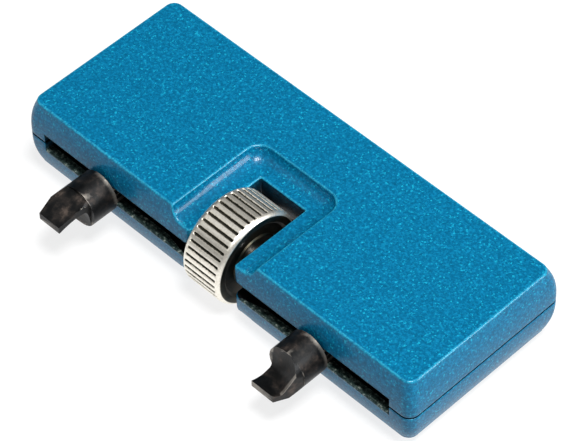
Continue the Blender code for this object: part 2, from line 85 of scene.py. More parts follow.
# ---- cast shells, millimetres ----
DRAFT_INSET = 0.9          # how far a wall leans in from its foot to the flat face
BACK_LEAN = 0.4            # extra lean of the back wall
FULLNESS = 2.6             # power of the wall's curve
EDGE_ROUND = 0.42          # edge of the flat face
CORNER_RADIUS = 1.8        # plan corners at the foot of the wall
FACE_CORNER_RADIUS = 1.7   # and at its top
LEAST_CORNER = 0.05
FACE_INSET = 3.0           # innermost loop, round the flat face's cap
GROOVE_HALF = 0.15         # half of the groove between the shells
RIM_ROUND = 0.14           # edge of the rim beside the groove
WALL = 1.4
OPENING_HALF = 4.63        # wheel opening, half its width
OPENING_REACH = 15.1       # and how far back it reaches
OPENING_ROUND = 0.3        # its upper edge
OPENING_CORNER = 0.25      # its plan corners
RECESS_HALF = 8.7          # finger recess round the opening
RECESS_REACH = 18.85
RECESS_DEPTH = 2.1
RECESS_SLOPE = 2.8         # plan width of the hollow flank
RECESS_CORNER = 2.75
STEEPEST = 82.4            # degrees of the flank's ellipse before the rounded brow
BAY_CORNER = 1.1           # where the opening meets the front
ISLAND_WALL = 1.5          # wall between the recess and the cavity
ROOF = 1.5                 # thickness over the cavity
SLOT_HALF = 36.0           # jaw slot, half its length
SLOT_RISE = 1.7            # and half its height
SLOT_DEPTH = 1.9
SLOT_FINE_END = 10.6       # the path's points lie closer outside this x
BORE_CLEARANCE = 0.1
LIP_ROUGHNESS = 0.07       # height of the cast lip's bumps below the slot
LINE_ROUGHNESS = 0.02      # and of those above it
TOUCHING = 0.01            # half the gap where the path jumps from one part to the next

# ---- thumb wheel, millimetres ----
TEETH = 42
TOOTH_HEIGHT = 0.34

# ---- lead screw, millimetres ----
PITCH = 0.8
THREAD_DEPTH = 0.4
PLAIN_HALF = 8.6           # unthreaded middle, half its length
JOURNAL_RADIUS = 1.5
END_PLAY = 0.2
CHAMFER = 0.3
SCREW_SIDES = 48

# ---- jaws, millimetres; a reach is measured forwards from the body's front ----
JAW_RADIUS = 3.55
STANDOFF = 0.35            # round head's back, in front of the body
SHOULDER_REACH = 5.05
TIP_HALF_WIDTH = 2.15
FLANK_FLAT = 2.65          # half width at the shoulder on the squarely cut flank
OTHER_FLAT = 3.4           # and on the other flank
STRAIGHT_FLAT = 2.9        # half height at the shoulder on the straight side
TIP_NEAR = -0.2            # hollow side's height at the tip
TIP_FAR = -1.42            # straight side's height at the tip
SCOOP_FLOOR = -1.25        # lowest point of the hollow
SCOOP_LENGTH = 2.2
STEEP_LENGTH = 0.95        # length of the hollow's quarter ellipse
OTHER_SLOPE = 1.25         # drop of its other side over its length
NECK_HALF_WIDTH = 2.6
NECK_HALF_HEIGHT = 1.55
BLOCK_HALF_WIDTH = 3.6
BLOCK_START = -2.1
BLOCK_DEPTH = 8.1
BLOCK_HALF_HEIGHT = 4.5
TIP_STATIONS = 44
WORN_EDGE = 0.09           # width of the bevel on every sharp edge

# ---- turned metal ----
RING_PITCH = 0.12          # tool marks, millimetres
WAVE_PITCH = 0.314         # pitch of the wave pattern at a scale of one


# ---------------------------------------------------------------- mesh helpers

def tube_faces(rows, columns, capped):
    """Index faces of a grid whose rows are closed loops; capped closes both end loops."""
    row, column = np.meshgrid(np.arange(rows - 1), np.arange(columns), indexing="ij")
    after = (column + 1) % columns
    corners = [row * columns + column, row * columns + after,
               (row + 1) * columns + after, (row + 1) * columns + column]
    faces = np.stack(corners, -1).reshape(-1, 4).tolist()
    if capped:
        faces += [list(range(columns)), list(range((rows - 1) * columns, rows * columns))]
    return faces


def tube_object(name, grid, material, merge, smooth_angle=38.0, capped=True, marks=None):
    """Object at the origin from a grid of closed loops in millimetres.

    Points closer than merge become one.  marks holds one number for each point under a
    name, for the material to read.
    """
    mesh = bpy.data.meshes.new(name)
    mesh.from_pydata((grid.reshape(-1, 3) * MM).tolist(), [], tube_faces(*grid.shape[:2], capped))
    mesh.update()
    for label, values in (marks or {}).items():
        layer = mesh.attributes.new(label, "FLOAT", "POINT")
        layer.data.foreach_set("value", values.astype(np.float32).ravel())
    work = bmesh.new()
    work.from_mesh(mesh)
    bmesh.ops.remove_doubles(work, verts=work.verts, dist=merge * MM)
    bmesh.ops.dissolve_degenerate(work, edges=work.edges, dist=merge * MM * 0.2)
    bmesh.ops.recalc_face_normals(work, faces=work.faces)
    work.to_mesh(mesh)
    work.free()
    mesh.materials.append(material)
    mesh.shade_smooth()
    mesh.set_sharp_from_angle(angle=np.radians(smooth_angle))
    made = bpy.data.objects.new(name, mesh)
    bpy.context.collection.objects.link(made)
    return made


def unevenness(along, across, seed, waves=6):
    """Sum of sines whose pitch shortens from 2 mm to 0.4 mm: a repeatable roughness, -1 to 1."""
    rng = np.random.default_rng(seed)
    total = np.zeros(np.broadcast(along, across).shape)
    for pitch in np.geomspace(2.0, 0.4, waves):
        turn = rng.uniform(0, 2 * np.pi, 2)
        total = total + np.sin(2 * np.pi * (along + across * np.cos(turn[0])) / pitch + turn[1])
    return total / waves


# ---------------------------------------------------------------- cast shells

def recess_profile():
    """Distance from the wheel opening, drop below the flat face, and share of painted edge highlight.

    A rounded opening edge, a level ledge, a hollow flank that is a quarter ellipse,
    and a rounded edge where the flank meets the flat face.
    """
    quarter = np.linspace(0, np.pi / 2, 6)
    edge = np.stack([OPENING_ROUND * (1 - np.cos(quarter)),
                     RECESS_DEPTH + OPENING_ROUND * (1 - np.sin(quarter))], 1)
    foot = RECESS_HALF - OPENING_HALF - RECESS_SLOPE
    ledge = np.array([[0.6, RECESS_DEPTH], [0.9, RECESS_DEPTH]])
    steepest = np.radians(STEEPEST)
    swing = np.linspace(0, steepest, 15)
    flank = np.stack([foot + RECESS_SLOPE * np.sin(swing), RECESS_DEPTH * np.cos(swing)], 1)
    slope = np.arctan(RECESS_DEPTH / RECESS_SLOPE * np.tan(steepest))
    turn = np.linspace(slope, 0, 8)[1:]
    radius = flank[-1, 1] / (1 - np.cos(slope))
    brow = np.stack([flank[-1, 0] + radius * (np.sin(slope) - np.sin(turn)),
                     radius * (1 - np.cos(turn))], 1)
    beyond = np.array([[brow[-1, 0] + 0.3, 0.0]])
    # painted edge highlight: a share of lighter paint on the opening's rounded edge and over the flank's
    # brow
    edge_share = np.concatenate([np.sin(2 * quarter), 0 * ledge[:, 0], 0 * flank[:, 0],
                           np.sin(np.linspace(0.4, np.pi, 7)), [0.0]])
    return np.column_stack([np.concatenate([edge, ledge, flank, brow, beyond]), edge_share])


def wall_inset(share):
    """Lean of the wall at a share of its height: a power curve, nearly upright at its foot."""
    return DRAFT_INSET * np.clip(share, 0, None) ** FULLNESS


def wall_share(inset):
    """Share of the wall's height at which it leans in by an inset."""
    return (np.clip(inset, 0, None) / DRAFT_INSET) ** (1 / FULLNESS)


def plan_corner(inset):
    """Radius of the outside's plan corners: nearly even up the wall, then a parallel curve."""
    wall = CORNER_RADIUS + (FACE_CORNER_RADIUS - CORNER_RADIUS) * np.minimum(wall_share(inset), 1)
    return np.maximum(wall - np.clip(inset - DRAFT_INSET, 0, None), LEAST_CORNER)


def outer_insets(count):
    """Insets of the shell's loops: up the wall, round the edge, and onto the face."""
    wall = wall_inset(np.linspace(0, 1, 15))
    turn = np.linspace(0, np.pi / 2, 9)[1:]
    edge = DRAFT_INSET + EDGE_ROUND * (1 - np.cos(turn))
    face = np.linspace(edge[-1], FACE_INSET, count - len(wall) - len(edge) + 1)[1:]
    return np.concatenate([wall, edge, face])


def shell_height(inset, cover, face, brow):
    """Height of the outside above the parting line, and share of painted edge highlight, at an inset.

    cover is the height of the face or recess there, and brow its share of painted edge
    highlight; the wall rises to it and turns over it with a round edge.
    """
    foot, rise = GROOVE_HALF + RIM_ROUND, face - EDGE_ROUND - GROOVE_HALF - RIM_ROUND
    start = wall_inset((cover - EDGE_ROUND - foot) / rise)
    wall = foot + rise * wall_share(inset)
    reach = np.clip(start + EDGE_ROUND - inset, 0, EDGE_ROUND)
    turned = cover - EDGE_ROUND + np.sqrt(EDGE_ROUND ** 2 - reach ** 2)
    # painted edge highlight: lighter paint, strongest half way round the face's rounded edge
    edge_share = np.where(inset < start, 0, np.maximum(np.sin(np.pi * reach / EDGE_ROUND), brow))
    return np.where(inset < start, wall, turned), edge_share


def line(start, end, shares):
    """Points from start to end at shares of the way, for every loop."""
    return start + (end - start) * shares[None, :]


def half_path(inset, bay, slot_inset, corner, bay_corner, back_corner, back_bay):
    """Left half of the shell's plan path, from the middle of the back to the middle of the bay.

    The arguments are columns, one value for each loop: the inset from the outside, the
    distance from the wheel opening, the inset along the jaw slot, and the radii of the
    outer, front bay and rear bay corners.
    Returns x, y and each point's part: 0 the outside, 1 the slot, 2 the front corner of
    the bay, 3 the wheel opening.
    """
    def arc(x, y, radius, start, end, count):
        turn = np.radians(np.linspace(start, end, count))[None, :]
        return x + radius * np.cos(turn), y + radius * np.sin(turn)

    left, front = -HALF_LENGTH + inset, FRONT_Y + inset
    back = BACK_Y - inset - BACK_LEAN * np.minimum(inset / DRAFT_INSET, 1)
    slot_front, bay_x = FRONT_Y + slot_inset, -OPENING_HALF - bay
    bay_back = FRONT_Y + OPENING_REACH + back_bay
    pieces = []

    def even(count):
        return np.linspace(0, 1, count + 1)[:-1]

    def add(x, y, part):
        x, y = np.broadcast_arrays(x, y)
        pieces.append((x, y, np.full(x.shape[1], part)))

    add(line(0 * left, left + corner, even(12)), back, 0)
    add(*arc(left + corner, back - corner, corner, 90, 180, 11), 0)
    add(left, line(back - corner, front + corner, even(12)[1:]), 0)
    add(*arc(left + corner, front + corner, corner, 180, 270, 11), 0)
    add(line(left + corner, -SLOT_HALF - 2 * TOUCHING + 0 * left, even(3)[1:]), front, 0)
    add(-SLOT_HALF - TOUCHING + 0 * left, front, 0)
    add(line(-SLOT_HALF + TOUCHING + 0 * left, -SLOT_FINE_END + 0 * left, even(150)), slot_front, 1)
    add(line(-SLOT_FINE_END + 0 * left, bay_x - bay_corner, even(44)), slot_front, 1)
    add(*arc(bay_x - bay_corner, slot_front + bay_corner, bay_corner, -90, 0, 9), 2)
    start = slot_front + bay_corner
    bore = SCREW_RADIUS + BORE_CLEARANCE
    fixed = np.concatenate([np.linspace(FRONT_Y + BAY_CORNER, FRONT_Y + SLOT_DEPTH - TOUCHING, 5),
                            [FRONT_Y + SLOT_DEPTH + TOUCHING, FRONT_Y + 2.6],
                            AXIS_Y - bore * np.cos(np.linspace(0, np.pi, 25)),
                            [AXIS_Y + 3.2]])[None, :]
    fixed = np.maximum(fixed, start + 0.002 * np.arange(1, fixed.shape[1] + 1)[None, :])
    add(bay_x, fixed, 3)
    add(bay_x, line(fixed[:, -1:], bay_back - back_corner, even(10)[1:]), 3)
    add(*arc(bay_x + back_corner, bay_back - back_corner, back_corner, 180, 90, 9), 3)
    add(line(bay_x + back_corner, 0 * left, np.linspace(0, 1, 7)[1:]), bay_back, 3)
    x, y, part = (np.concatenate([piece[k] for piece in pieces], -1) for k in range(3))
    return x, y, part


def rim_height(part, y):
    """Height of the shell's lower edge above the parting line, along the path.

    The groove on the sides, the jaw slot along the front, and half of the screw's bore
    through the bearing blocks.
    """
    bore = SCREW_RADIUS + BORE_CLEARANCE
    reach = np.clip(np.abs(y - AXIS_Y), 0, bore)
    seat = np.maximum(GROOVE_HALF, np.sqrt(bore ** 2 - reach ** 2))
    in_slot = (part == 1) | (part == 2) | ((part == 3) & (y < FRONT_Y + SLOT_DEPTH))
    return np.where(in_slot, SLOT_RISE, np.where(part == 3, seat, GROOVE_HALF))


def mirror_path(x, other):
    """Whole loops from left halves: the right half is the left one's mirror image."""
    whole_x = np.concatenate([x, -x[:, -2:0:-1]], 1)
    rest = [np.concatenate([value, value[..., -2:0:-1]], -1) for value in other]
    return [whole_x] + rest


def shell_surface(way, face, recess):
    """Grid of one shell's outside and inside, in millimetres, and the marks of its points.

    way is 1 for the top shell and -1 for the bottom one, face its flat face's height
    above the parting line.  The rows are closed loops.  They run from the roof of the
    cavity, down inside the wall, across the rim, and up over the outside to the flat face.
    """
    profile = recess_profile()
    if not recess:
        profile[:, 1] = np.clip(profile[:, 1] - RECESS_DEPTH, 0, None)
    bay = profile[:, :1]
    inset = outer_insets(len(bay))[:, None]
    slot_start = wall_inset((SLOT_RISE - GROOVE_HALF) / (face - EDGE_ROUND - GROOVE_HALF - RIM_ROUND))
    slot_inset = slot_start + inset * (1 - slot_start / inset.max())
    corner = plan_corner(inset)
    grow = np.clip(bay / (RECESS_HALF - OPENING_HALF), 0, 1)
    bay_corner = np.maximum(BAY_CORNER * (1 - grow * 2.2), LEAST_CORNER)
    back_corner = OPENING_CORNER + (RECESS_CORNER - OPENING_CORNER) * grow
    back_bay = bay * (RECESS_REACH - OPENING_REACH) / (RECESS_HALF - OPENING_HALF)
    x, y, part = half_path(inset, bay, slot_inset, corner, bay_corner, back_corner, back_bay)

    away = np.where(part == 3, bay, np.where(part == 0, 99.0, np.abs(x) - OPENING_HALF))
    cover = face - np.interp(away, profile[:, 0], profile[:, 1])
    into = np.where(part == 0, inset, y - FRONT_Y)
    height, edge_share = shell_height(into, cover, face, np.interp(away, profile[:, 0], profile[:, 2]))
    rim = rim_height(part, y[0])
    height[0] = np.where(part == 3, np.minimum(height[0], cover[0]), height[0])

    def ring(loop_inset, loop_bay, lift, tall=None):
        """One loop at an inset, a bay distance and a height over the rim."""
        deep, near = np.full((1, 1), loop_inset), np.full((1, 1), loop_bay)
        rx, ry, _ = half_path(deep, near, np.maximum(deep, slot_start + loop_inset),
                              np.maximum(CORNER_RADIUS - deep, LEAST_CORNER),
                              np.where(near < 0.5, BAY_CORNER, 0.3),
                              OPENING_CORNER + 0.2 * near, near)
        rz = (rim + lift)[None, :] if tall is None else np.full_like(rx, tall)
        return rx, ry, rz

    island = RECESS_HALF - OPENING_HALF + ISLAND_WALL
    inner = [ring(WALL + 0.6, island, 0, face - ROOF), ring(WALL, island, 0.0)]
    shares = (0.9, 0.78, 0.66, 0.54, 0.42, 0.32, 0.24, 0.17)
    rim_rows = [ring(RIM_ROUND + (WALL - RIM_ROUND) * s, RIM_ROUND + (island - RIM_ROUND) * s, 0.0)
                for s in shares]
    rounded = [ring(RIM_ROUND, RIM_ROUND, 0.0), ring(0.3 * RIM_ROUND, 0.3 * RIM_ROUND, 0.3 * RIM_ROUND)]
    low = (x[:1], y[:1], np.minimum(rim + RIM_ROUND, height[0])[None, :])
    rows = inner + rim_rows + rounded + [low]
    gx = np.concatenate([row[0] for row in rows] + [x])
    gy = np.concatenate([row[1] for row in rows] + [y])
    gz = np.concatenate([row[2] for row in rows] + [height])

    outside = len(rows)
    # Painted shade: near black over the cavity, the rim and groove between the shells, and the wheel
    # opening's walls from 3 mm behind the front.
    bay_shade = (part == 3) * np.clip((y[0] - FRONT_Y - 3) / 3, 0, 1)
    painted_shade_share = np.zeros(gx.shape)
    painted_shade_share[:outside - 2] = 1
    painted_shade_share[outside - 2:outside] = bay_shade
    painted_shade_share[outside] = 0.75 * bay_shade
    # The edge marks below are a painted edge highlight on the rounded edges and brows.
    edges = np.concatenate([0 * gx[:outside], edge_share])
    fade = np.interp(np.arange(len(gx)), outside + np.array([-3, -1, 3]), [1.0, 0.9, 0.0])
    lip = fade[:, None] * (part == 1) * (gy < FRONT_Y + WALL + 0.1)
    x, y, z, lip, painted_shade_share, edges = mirror_path(gx, [gy, gz, lip, painted_shade_share, edges])
    rough = lip * (LIP_ROUGHNESS if way < 0 else LINE_ROUGHNESS)
    z = z + rough * unevenness(x, 2.5 * y, 11)
    marks = {"bare_lip": lip, "painted_shade": painted_shade_share * (lip == 0), "painted_edge_highlight": edges}
    return np.stack([x, y, AXIS_Z + way * z], -1), marks


def make_shell(name, node, way, face, material, recess):
    """One cast half as a single closed skin, with a cap on the cavity's roof and on the face."""
    grid, marks = shell_surface(way, face, recess)
    shell = tube_object(name, grid, material, 0.0015, marks=marks)
    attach(shell, "body")
    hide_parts(node)


# ---------------------------------------------------------------- thumb wheel

def wheel_surface():
    """Knurled wheel: a profile along the axis turned round it, its radius cut by grooves.

    The grooves fade out on the chamfered rims.  Returns the grid, how deep each point lies
    in a groove and whether it is on a side face.
    """
    tooth = np.array([0.0, 0.04, 0.09, 0.15, 0.2, 0.24, 0.3, 0.5, 0.7, 0.76, 0.8, 0.85, 0.91, 0.96])
    cut = np.array([1.0, 0.99, 0.9, 0.55, 0.14, 0.02, 0.0, 0.0, 0.0, 0.02, 0.14, 0.55, 0.9, 0.99])
    turn = ((np.arange(TEETH)[:, None] + tooth[None, :]) / TEETH * 2 * np.pi).ravel()
    groove = np.tile(cut, TEETH)[None, :]
    half, rim = WHEEL_HALF, WHEEL_RADIUS
    # from the bore outwards: x, radius, share of the groove's depth, on a side face
    side = [(half - 0.05, 2.65, 0, 1), (half - 0.05, 4.2, 0, 1), (half - 0.12, 4.32, 0, 1),
            (half - 0.36, 4.45, 0, 1), (half - 0.4, 4.8, 0, 1), (half - 0.4, 5.4, 0, 1),
            (half - 0.38, 6.1, 0, 1), (half - 0.16, 6.4, 0, 1), (half - 0.02, 6.52, 0, 1),
            (half, 6.62, 0, 1), (half, rim - 0.62, 0, 1), (half - 0.03, rim - 0.5, 0, 0),
            (half - 0.12, rim - 0.38, 0, 0), (half - 0.3, rim - 0.2, 0, 0),
            (half - 0.45, rim - 0.1, 0, 0), (half - 0.62, rim - 0.04, 0.05, 0),
            (half - 0.75, rim - 0.01, 0.45, 0), (half - 0.86, rim, 0.85, 0), (half - 1.0, rim, 1.0, 0)]
    side = np.array(side)
    middle = np.linspace(side[-1, 0], -side[-1, 0], 8)[1:-1]
    belt = np.stack([middle, rim + 0 * middle, 1 + 0 * middle, 0 * middle], 1)
    profile = np.concatenate([side, belt, side[::-1] * [-1, 1, 1, 1]])
    depth = profile[:, 2:3] * groove
    radius = profile[:, 1:2] - TOOTH_HEIGHT * depth
    along = WHEEL_MIDDLE + profile[:, :1] + 0 * radius
    grid = np.stack([along, AXIS_Y + radius * np.cos(turn), AXIS_Z + radius * np.sin(turn)], -1)
    return grid, depth, profile[:, 3:4] + 0 * radius


def make_wheel(material):
    """Thumb wheel as one closed ring round its bore."""
    grid, depth, flat = (np.concatenate([value, value[:1]]) for value in wheel_surface())
    wheel = tube_object("knurled_thumb_wheel", grid, material, 0.0005, smooth_angle=30,
                        capped=False, marks={"groove": depth, "side_face": flat})
    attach(wheel, "spindle")
    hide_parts("thumb_wheel")


# ---------------------------------------------------------------- lead screw

def screw_surface():
    """Lead screw: a stepped bar along X whose radius is cut by two opposite helical grooves.

    The groove's depth is a triangle wave of x over the pitch plus the turn about X, the
    turn counted backwards on the left half, so that half is right-handed and the other
    left-handed.  It fades out over one pitch at both ends of each thread.
    """
    last = box_mm("right_thrust_washer")[0][0] - END_PLAY
    thread = np.arange(PLAIN_HALF, last - CHAMFER, PITCH / 10)
    ends = [last - CHAMFER, last, last, SCREW_HIGH[0] - END_PLAY, SCREW_HIGH[0]]
    half = np.concatenate([[0.0, PLAIN_HALF - 0.05], thread, ends])
    steps = [SCREW_RADIUS, SCREW_RADIUS - CHAMFER, JOURNAL_RADIUS, JOURNAL_RADIUS,
             JOURNAL_RADIUS - END_PLAY]
    bar = np.concatenate([np.full(len(thread) + 2, SCREW_RADIUS), steps])
    x = np.concatenate([-half[:0:-1], half])[:, None]
    bar = np.concatenate([bar[:0:-1], bar])[:, None]
    turn = np.linspace(0, 2 * np.pi, SCREW_SIDES, endpoint=False)[None, :]
    wave = np.abs(2 * np.mod(x / PITCH + np.sign(x) * turn / (2 * np.pi), 1) - 1)
    fade = np.clip(np.minimum(np.abs(x) - PLAIN_HALF, last - CHAMFER - np.abs(x)) / PITCH, 0, 1)
    radius = bar - THREAD_DEPTH * fade * (1 - np.clip((wave - 0.1) / 0.75, 0, 1))
    return np.stack([x + 0 * radius, AXIS_Y + radius * np.cos(turn),
                     AXIS_Z + radius * np.sin(turn)], -1)


def make_screw(material):
    """Lead screw as one closed bar, flat at both ends."""
    screw = tube_object("threaded_lead_screw", screw_surface(), material, 0.0005, smooth_angle=30)
    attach(screw, "spindle")
    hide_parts("lead_screw")


# ---------------------------------------------------------------- jaws

def section(left, right, near_left, near_right, far, radius):
    """Cross-section of a round bar with two flanks cut, a straight side and a hollow side.

    The hollow rises as a square from the left flank to the right one.  Each of the four
    edges starts a run of points, so that it stays sharp along the jaw.  The arguments are
    columns, one value for each station.  Returns x and z.
    """
    share = np.linspace(0, 1, 15)[None, :-1]

    def reach(height, width):
        return np.minimum(width, np.sqrt(np.clip(radius ** 2 - height ** 2, 1e-4, None)))

    def flank(start, end, width):
        first, last = (np.arcsin(np.clip(value / radius, -1, 1)) for value in (start, end))
        height = radius * np.sin(first + (last - first) * share)
        return reach(height, width), height

    right_x, right_z = flank(far, near_right, right)
    left_x, left_z = flank(near_left, far, left)
    near_x = reach(near_right, right) - (reach(near_right, right) + reach(near_left, left)) * share
    near_z = near_left + (near_right - near_left) * (1 - share) ** 2
    far_x = -reach(far, left) + (reach(far, left) + reach(far, right)) * share
    x = np.concatenate([right_x, near_x, -left_x, far_x], 1)
    z = np.concatenate([right_z, near_z, left_z, far + 0 * share], 1)
    return x, z


def jaw_stations(tip_reach):
    """Reach in front of the body, and the section's six values there, for every station.

    The hollow drops from the shoulder as a quarter ellipse on its steep side and as a
    straight slope on the other, and both run into a floor that rises to the tip.
    """
    v = np.linspace(0, 1, TIP_STATIONS) ** 1.7
    reach = SHOULDER_REACH + (tip_reach - SHOULDER_REACH) * v
    rise = np.clip((reach - SHOULDER_REACH - SCOOP_LENGTH)
                   / (tip_reach - SHOULDER_REACH - SCOOP_LENGTH), 0, 1)
    floor = SCOOP_FLOOR + (TIP_NEAR - SCOOP_FLOOR) * rise ** 1.5
    steep = 1 - np.clip((reach - SHOULDER_REACH) / STEEP_LENGTH, 0, 1)
    near_left = floor + (JAW_RADIUS - floor) * (1 - np.sqrt(1 - steep ** 2))
    slope = JAW_RADIUS - OTHER_SLOPE * (reach - SHOULDER_REACH)
    near_right = np.minimum((slope + floor + np.sqrt((slope - floor) ** 2 + 0.3)) / 2, JAW_RADIUS)
    far = -STRAIGHT_FLAT + (TIP_FAR + STRAIGHT_FLAT) * v
    left = FLANK_FLAT + (TIP_HALF_WIDTH - FLANK_FLAT) * v
    right = OTHER_FLAT + (TIP_HALF_WIDTH - OTHER_FLAT) * v
    round_off = np.full(TIP_STATIONS, JAW_RADIUS)
    tip = np.stack([reach, left, right, near_left, near_right, far, round_off], 1)
    head_reach = np.array([STANDOFF, STANDOFF + 0.12, 1.2, 2.4, 3.6, SHOULDER_REACH - 0.15,
                           SHOULDER_REACH])
    bar = np.array([JAW_RADIUS - 0.14] + [JAW_RADIUS] * 6)
    head = np.stack([head_reach, bar, bar, bar, bar, -bar, bar], 1)
    block = np.array([[BLOCK_START - BLOCK_DEPTH, BLOCK_HALF_WIDTH, BLOCK_HALF_HEIGHT],
                      [BLOCK_START - 0.01, BLOCK_HALF_WIDTH, BLOCK_HALF_HEIGHT],
                      [BLOCK_START, NECK_HALF_WIDTH, NECK_HALF_HEIGHT],
                      [STANDOFF - 0.01, NECK_HALF_WIDTH, NECK_HALF_HEIGHT]])
    wide, tall = block[:, 1], block[:, 2]
    back = np.stack([block[:, 0], wide, wide, tall, tall, -tall, np.full(4, 9.0)], 1)
    return np.concatenate([back, head, tip])


def make_jaw(name, node, body, turn, material):
    """One jaw: the section carried from the nut block out to the blade's end."""
    low, high = box_mm(node)
    middle = (low[0] + high[0]) / 2
    stations = jaw_stations(FRONT_Y - low[1])
    x, z = section(*(stations[:, k:k + 1] for k in range(1, 7)))
    y = FRONT_Y - stations[:, :1] + 0 * x
    grid = np.stack([middle + turn * x, y, AXIS_Z + turn * z], -1)
    jaw = tube_object(name, grid, material, 0.002, smooth_angle=32)
    bevel = jaw.modifiers.new("worn_edges", "BEVEL")
    bevel.width = WORN_EDGE * MM
    bevel.segments = 2
    bevel.limit_method = "ANGLE"
    bevel.angle_limit = np.radians(40)
    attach(jaw, body)
    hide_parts(node)


# ---------------------------------------------------------------- materials

def new_material(name):
    """Material with its nodes, its links and its Principled shader."""
    material = bpy.data.materials.new(name)
    material.use_nodes = True
    tree = material.node_tree
    return material, tree.nodes, tree.links, tree.nodes["Principled BSDF"]


def add(nodes, links, kind, settings, inputs):
    """Node of a kind with its settings, and its inputs set to a value or linked."""
    node = nodes.new("ShaderNode" + kind)
    for label, value in settings.items():
        setattr(node, label, value)
    for label, value in inputs.items():
        if hasattr(value, "is_output"):
            links.new(value, node.inputs[label])
        else:
            node.inputs[label].default_value = value
    return node


def ramp(nodes, links, factor, stops):
    """Colour ramp with (position, colour) stops, read at a factor."""
    node = add(nodes, links, "ValToRGB", {}, {"Fac": factor})
    elements = node.color_ramp.elements
    while len(elements) < len(stops):
        elements.new(0.5)
    for element, (position, colour) in zip(elements, stops):
        element.position = position
        element.color = (*colour, 1)
    return node.outputs["Color"]


def mixed(nodes, links, factor, first, second):
    """Colour between first and second, each a colour or a link, at a factor."""
    node = add(nodes, links, "Mix", {"data_type": "RGBA"}, {"Factor": factor, 6: first, 7: second})
    return node.outputs[2]


def marked(nodes, links, label):
    """Number that the mesh holds for each point under a label."""
    return add(nodes, links, "Attribute", {"attribute_name": label}, {}).outputs["Fac"]


def scaled(nodes, links, value, settings):
    """Value carried from one range to another by a Map Range node."""
    return add(nodes, links, "MapRange", {}, {"Value": value, **settings}).outputs["Result"]


def bumped(nodes, links, height, strength, distance, below=None):
    """Normal raised by a height, over the bumps below."""
    inputs = {"Strength": strength, "Distance": distance, "Height": height}
    if below is not None:
        inputs["Normal"] = below
    return add(nodes, links, "Bump", {}, inputs).outputs["Normal"]


def blue_paint():
    """Metallic blue paint over a casting, with fine flakes; the rough lip is almost bare.

    Near black is painted inside and between the shells and on the deeper walls of the wheel opening:
    painted shade. The marked convex edges are lightened to pale blue: a painted edge highlight.
    """
    material, nodes, links, shader = new_material("blue_flake_paint")
    place = nodes.new("ShaderNodeTexCoord").outputs["Object"]
    flakes = add(nodes, links, "TexVoronoi", {}, {"Vector": place, "Scale": 4400.0})
    spread = add(nodes, links, "SeparateColor", {}, {"Color": flakes.outputs["Color"]})
    cloud = add(nodes, links, "TexNoise", {}, {"Vector": place, "Scale": 2000.0, "Detail": 3.0})
    level = add(nodes, links, "Math", {"operation": "MULTIPLY_ADD"},
                {0: spread.outputs["Red"], 1: 0.4, 2: cloud.outputs["Fac"]})
    tint = ramp(nodes, links, level.outputs["Value"],
                [(0.35, (0.0, 0.072, 0.15)), (0.7, (0.0002, 0.1, 0.206)),
                 (1.05, (0.002, 0.155, 0.3))])
    spark = ramp(nodes, links, spread.outputs["Green"],
                 [(0.84, (0.0, 0.0, 0.0)), (0.94, (0.18, 0.18, 0.18)), (1.0, (0.6, 0.6, 0.6))])
    sparked = mixed(nodes, links, spark, tint, (0.01, 0.38, 0.55, 1))
    # Painted edge highlight: the marked edges are lightened towards pale blue, broken up from cell to
    # cell.
    broken = scaled(nodes, links, spread.outputs["Blue"], {"To Min": 0.15, "To Max": 0.7})
    edge_highlight_share = add(nodes, links, "Math", {"operation": "MULTIPLY"},
               {0: marked(nodes, links, "painted_edge_highlight"), 1: broken})
    flakes_and_edge_highlight = mixed(nodes, links, edge_highlight_share.outputs["Value"], sparked, (0.03, 0.36, 0.52, 1))
    grain = add(nodes, links, "TexNoise", {}, {"Vector": place, "Scale": 1500.0, "Detail": 5.0,
                                               "Roughness": 0.7})
    bare = ramp(nodes, links, grain.outputs["Fac"],
                [(0.4, (0.006, 0.016, 0.016)), (0.52, (0.035, 0.06, 0.055)),
                 (0.6, (0.12, 0.17, 0.155)), (0.68, (0.5, 0.55, 0.48))])
    lip = marked(nodes, links, "bare_lip")
    lipped = mixed(nodes, links, lip, flakes_and_edge_highlight, bare)
    # Painted shade: the marked hidden and deep surfaces are painted near black.
    colour = mixed(nodes, links, marked(nodes, links, "painted_shade"), lipped,
                   (0.003, 0.003, 0.004, 1))
    links.new(colour, shader.inputs["Base Color"])
    flake_bump = bumped(nodes, links, spread.outputs["Green"], 0.22, 0.00002)
    cast_bump = bumped(nodes, links, cloud.outputs["Fac"], 0.2, 0.00004, flake_bump)
    lip_height = add(nodes, links, "Math", {"operation": "MULTIPLY"}, {0: grain.outputs["Fac"], 1: lip})
    lip_bump = bumped(nodes, links, lip_height.outputs["Value"], 0.8, 0.0002, cast_bump)
    links.new(lip_bump, shader.inputs["Normal"])
    links.new(lip_bump, shader.inputs["Coat Normal"])
    shader.inputs["Metallic"].default_value = 0.0
    shader.inputs["Roughness"].default_value = 0.45
    shader.inputs["Specular IOR Level"].default_value = 0.05
    shader.inputs["Coat Weight"].default_value = 0.32
    shader.inputs["Coat Roughness"].default_value = 0.18
    return material


